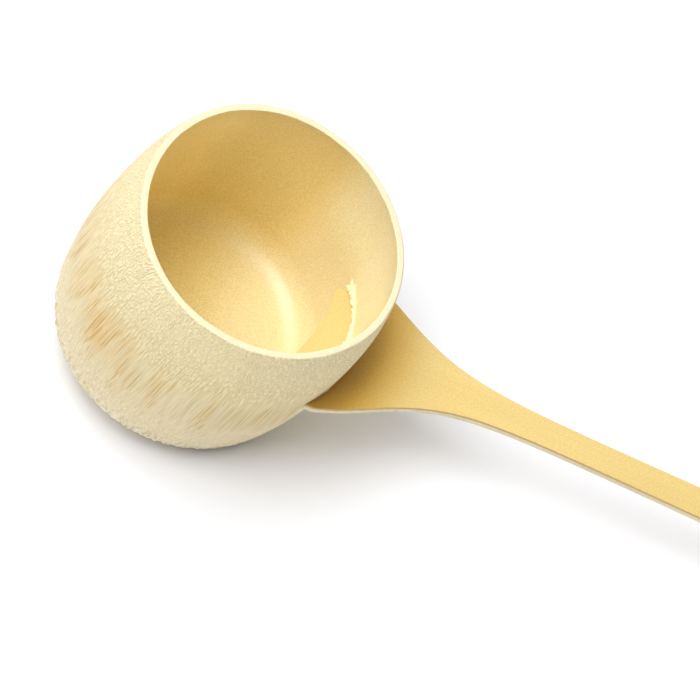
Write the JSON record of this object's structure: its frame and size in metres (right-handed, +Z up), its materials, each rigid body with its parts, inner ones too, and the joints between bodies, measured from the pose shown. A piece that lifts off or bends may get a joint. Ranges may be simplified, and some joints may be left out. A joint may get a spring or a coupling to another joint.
{
  "type": "bamboo ladle",
  "caption": "Barrel-shaped bamboo cup with a long, slender bamboo handle whose fan-shaped root is tenoned through the cup's wall, for dipping and pouring water.",
  "frame": {"origin": "on the surface that the ladle rests on, under the middle of its box", "axes": "+X along the ladle from the cup to the handle's far end, +Z up from the surface; the cup leans towards the handle, whose far end touches the surface"},
  "size_m": [0.3746, 0.057, 0.0551],
  "materials": {
    "planed_bamboo": "planed, unvarnished",
    "bamboo_skin": "smooth, satin"
  },
  "bodies": {
    "root": {"cup": "planed_bamboo", "handle": "bamboo_skin"}
  },
  "joints": []
}
